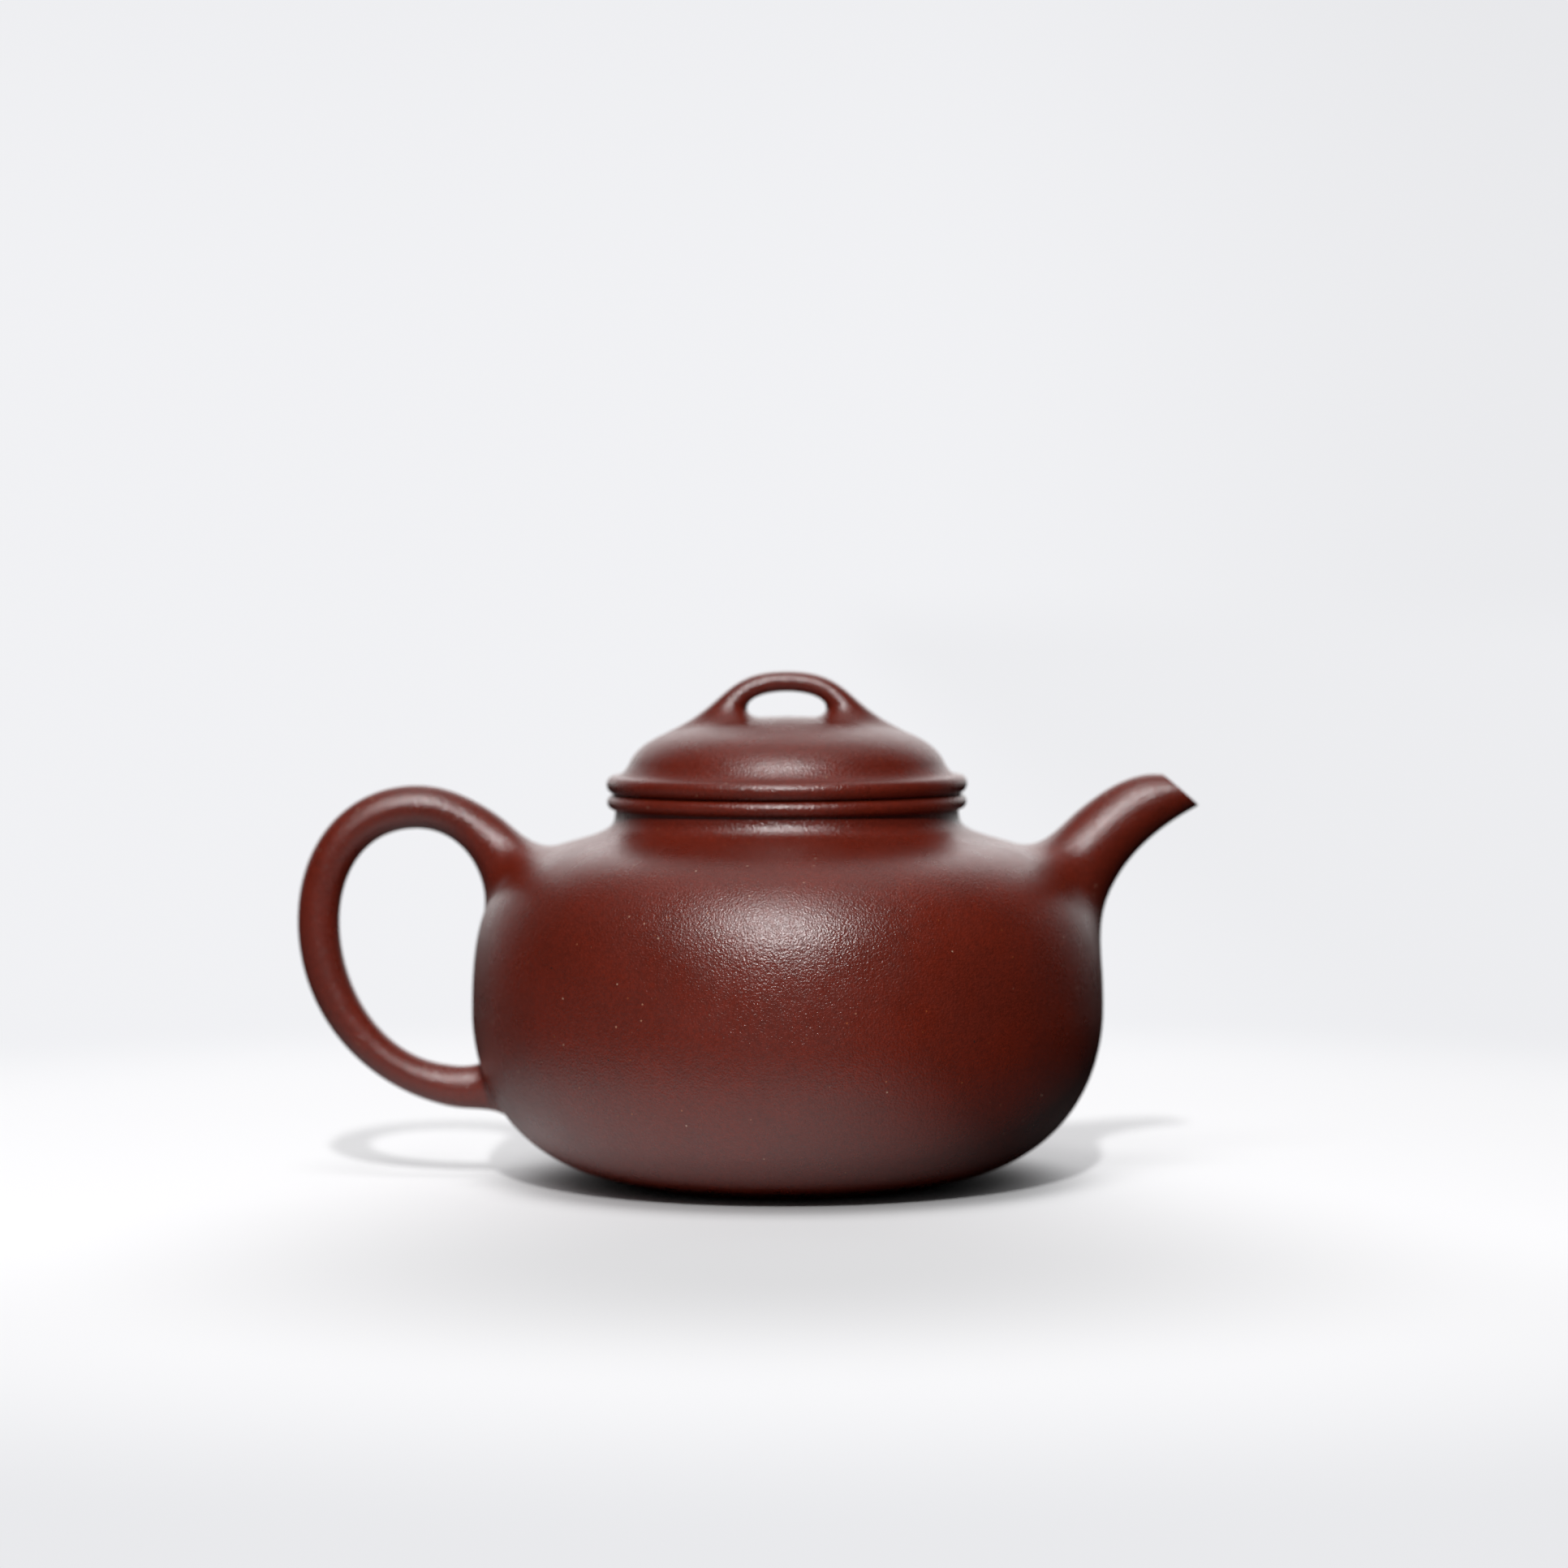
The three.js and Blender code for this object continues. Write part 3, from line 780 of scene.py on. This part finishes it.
BACKDROP = (0.878, 0.882, 0.905, 1)
PAPER = (0.89, 0.89, 0.90, 1)
NEAR_GLOW = (1.06, 1.06, 1.08, 1)
GLOW = 0.4  # share of the sheet's look near the pot that is its own even glow
CONTACT_REACH = 0.016  # how near something darkens the glow
CONTACT_FADE = (0.1, 0.8)  # openness at which there is no glow, and at which there is all of it
SHEET_FADE = (0.14, 0.3)  # distances from the pot's axis between which the sheet turns into backdrop
SHADE_PLACE = (0.0, -0.09, 0.0)  # the pot shades the sheet just before it

# Fades, each as from, to, light at from, light at to. Places are in metres from the pot's axis.
SHADE_NEAR = (0.02, 0.12, 0.76, 1.0)  # by the distance from SHADE_PLACE
SHADE_FRONT = (-0.16, -0.06, 0.93, 1.0)  # by y
SHADE_RIGHT = (0.05, 0.16, 1.0, 0.96)  # by x
BOUNCE_RIGHT = (-0.035, 0.035, 1.0, 0.08)  # by x + y / 2
BOUNCE_BACK = (-0.06, 0.08, 1.0, 0.35)  # by y
BOUNCE_FAR = (0.045, 0.14, 0.95, 0.15)  # by the distance from the pot's axis
BOUNCE_UNDER = (0.03, 0.048, 0.2, 1.0)  # by the distance from the pot's axis
BACKDROP_UP = (0.04, 0.22, 1.0, 0.94)  # by the z of the view's direction
BACKDROP_RIGHT = (0.02, 0.16, 1.0, 0.94)  # by the x of the view's direction


def floor():
    """A pale sheet that fades into the backdrop far from the pot.

    The camera sees it lit and softly glowing. What it throws back onto the pot comes mostly
    from the front left.
    """
    inner, outer = list(range(COIL)), list(range(COIL, 2 * COIL))
    rings = [(r * math.cos(a), r * math.sin(a), 0.0) for r in (0.5, 9.0) for a in TURN]
    mesh = bpy.data.meshes.new("floor")
    mesh.from_pydata(rings, [], [inner] + bands([(inner, outer)]))
    obj = bpy.data.objects.new("floor", mesh)
    bpy.context.scene.collection.objects.link(obj)
    mesh.materials.append(paper())


def seen_sheet(nodes, place, far, x, y):
    """The sheet as the camera sees it: lit by the lamps, with a glow that the pot darkens."""
    from_shade = nodes.add("ShaderNodeVectorMath", {"operation": "DISTANCE"}, Vector=place)
    nodes.put(from_shade, "1", SHADE_PLACE)
    shade = nodes.product(
        nodes.ramp(from_shade.outputs["Value"], *SHADE_NEAR),
        nodes.ramp(y, *SHADE_FRONT),
        nodes.ramp(x, *SHADE_RIGHT),
    )
    contact = nodes.add("ShaderNodeAmbientOcclusion", {"samples": 8}, Distance=CONTACT_REACH)
    openness = nodes.ramp(contact.outputs["AO"], *CONTACT_FADE)
    near_glow = nodes.blend(1.0, NEAR_GLOW, openness, "MULTIPLY")
    glow = nodes.blend(nodes.ramp(far, *SHEET_FADE), near_glow, BACKDROP)
    lit = nodes.add("ShaderNodeBsdfDiffuse", Color=nodes.blend(1.0, PAPER, shade, "MULTIPLY"))
    glowing = nodes.add("ShaderNodeEmission", Color=nodes.blend(1.0, glow, shade, "MULTIPLY"))
    seen = nodes.add("ShaderNodeMixShader", Fac=nodes.ramp(far, *SHEET_FADE, GLOW, 1.0))
    nodes.put(seen, "1", lit.outputs[0])
    nodes.put(seen, "2", glowing.outputs[0])
    return seen.outputs[0]


def bouncing_sheet(nodes, far, x, y):
    """The sheet as the pot sees it, throwing back light from near its front left."""
    bounce = nodes.product(
        nodes.ramp(nodes.math("ADD", x, nodes.math("MULTIPLY", y, 0.5)), *BOUNCE_RIGHT),
        nodes.ramp(y, *BOUNCE_BACK),
        nodes.ramp(far, *BOUNCE_FAR),
        nodes.ramp(far, *BOUNCE_UNDER),
    )
    colour = nodes.blend(1.0, PAPER, bounce, "MULTIPLY")
    return nodes.add("ShaderNodeBsdfDiffuse", Color=colour).outputs[0]


def paper():
    material = bpy.data.materials.new("paper")
    material.use_nodes = True
    nodes = Nodes(material.node_tree)
    place = nodes.add("ShaderNodeTexCoord").outputs["Object"]
    far = nodes.add("ShaderNodeVectorMath", {"operation": "LENGTH"}, Vector=place).outputs[1]
    x, y, _ = nodes.split(place)
    camera_ray = nodes.add("ShaderNodeLightPath").outputs["Is Camera Ray"]
    mix = nodes.add("ShaderNodeMixShader", Fac=camera_ray)
    nodes.put(mix, "1", bouncing_sheet(nodes, far, x, y))
    nodes.put(mix, "2", seen_sheet(nodes, place, far, x, y))
    nodes.put(material.node_tree.nodes["Material Output"], "Surface", mix.outputs[0])
    return material


ROOM_LIGHT = 0.03
PANEL_WHITE = (1, 0.99, 0.99, 1)
PANELS = {  # azimuth from the front towards +X, elevation, degrees from middle to edge, light
    "ceiling": (180, 78, 40, 0.6),
    "left": (-60, 45, 32, 0.12),
    "backdrop": (180, 12, 34, 0.85),
    "high back": (180, 36, 20, 0.75),
    "back left": (-155, 15, 30, 0.6),
    "back right": (158, 20, 32, 0.7),
}


def towards(azimuth, elevation):
    turn, rise = math.radians(azimuth), math.radians(elevation)
    return Vector((math.sin(turn) * math.cos(rise), -math.cos(turn) * math.cos(rise), math.sin(rise)))


def panel_light(nodes, direction):
    """The light from a direction: the dim room's and every soft panel's."""
    light = ROOM_LIGHT
    for azimuth, elevation, reach, strength in PANELS.values():
        facing = nodes.add("ShaderNodeVectorMath", {"operation": "DOT_PRODUCT"})
        nodes.put(facing, "0", direction)
        nodes.put(facing, "1", tuple(towards(azimuth, elevation)))
        edge, full = math.cos(math.radians(reach)), math.cos(math.radians(reach / 4))
        panel = nodes.ramp(facing.outputs["Value"], edge, full, 0.0, strength)
        light = nodes.math("ADD", panel, light)
    return light


def world():
    """Soft white panels in a dim room; the camera sees only the backdrop."""
    scene_world = bpy.data.worlds.new("studio")
    bpy.context.scene.world = scene_world
    scene_world.use_nodes = True
    nodes = Nodes(scene_world.node_tree)
    direction = nodes.add("ShaderNodeTexCoord").outputs["Generated"]
    room = scene_world.node_tree.nodes["Background"]
    nodes.put(room, "Color", PANEL_WHITE)
    nodes.put(room, "Strength", panel_light(nodes, direction))
    x, _, z = nodes.split(direction)
    fade = nodes.product(nodes.ramp(z, *BACKDROP_UP), nodes.ramp(x, *BACKDROP_RIGHT))
    seen = nodes.add("ShaderNodeBackground", Color=BACKDROP, Strength=fade)
    camera_ray = nodes.add("ShaderNodeLightPath").outputs["Is Camera Ray"]
    mix = nodes.add("ShaderNodeMixShader", Fac=camera_ray)
    nodes.put(mix, "1", room.outputs[0])
    nodes.put(mix, "2", seen.outputs[0])
    nodes.put(scene_world.node_tree.nodes["World Output"], "Surface", mix.outputs[0])


LAMP_TARGET = Vector((0, 0, 0.04))
LAMP_DISTANCE = 3.0
LAMPS = {  # azimuth, elevation, size in metres, power in watts
    "key": (-2, 38, 0.12, 68),
    "side key": (-22, 45, 0.9, 13),
    "top key": (-8, 66, 1.0, 20),
}


def lights():
    for name, (azimuth, elevation, size, power) in LAMPS.items():
        data = bpy.data.lights.new(name, "AREA")
        data.shape = "DISK"
        data.size = size
        data.energy = power
        obj = bpy.data.objects.new(name, data)
        obj.location = LAMP_TARGET + towards(azimuth, elevation) * LAMP_DISTANCE
        obj.rotation_euler = (LAMP_TARGET - obj.location).to_track_quat("-Z", "Y").to_euler()
        bpy.context.scene.collection.objects.link(obj)


CAMERA_DISTANCE = 0.8
CAMERA_HEIGHT = 0.102
CAMERA_ROLL = -0.2  # degrees
CAMERA_LENS = 110.56  # millimetres, before a sensor 36 wide
CAMERA_SHIFT = -0.0018
APERTURE = 9.0


def camera():
    """The camera stands in front of the pot, looking at the lid's edge from a little above it.

    It focuses on the front of the belly, and keeps doing so when it is moved round the pot.
    """
    data = bpy.data.cameras.new("camera")
    data.sensor_width = 36
    data.lens = CAMERA_LENS
    data.shift_x = CAMERA_SHIFT
    obj = bpy.data.objects.new("camera", data)
    bpy.context.scene.collection.objects.link(obj)
    band_low, band_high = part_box("lid_rim_band")
    target = (band_low + band_high) / 2
    obj.location = (0, -CAMERA_DISTANCE, CAMERA_HEIGHT)
    aim = (target - obj.location).to_track_quat("-Z", "Y")
    obj.rotation_euler = (aim @ Quaternion((0, 0, 1), math.radians(CAMERA_ROLL))).to_euler()
    focus = bpy.data.objects.new("focus", None)
    focus.location = target
    follow = focus.constraints.new("COPY_LOCATION")
    follow.target = obj
    follow.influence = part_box("body_wall")[1][1] / CAMERA_DISTANCE
    bpy.context.scene.collection.objects.link(focus)
    data.dof.use_dof = True
    data.dof.focus_object = focus
    data.dof.aperture_fstop = APERTURE
    data.clip_start, data.clip_end = 0.01, 50
    bpy.context.scene.camera = obj


floor()
world()
lights()
camera()
bpy.context.scene.view_settings.view_transform = "Standard"
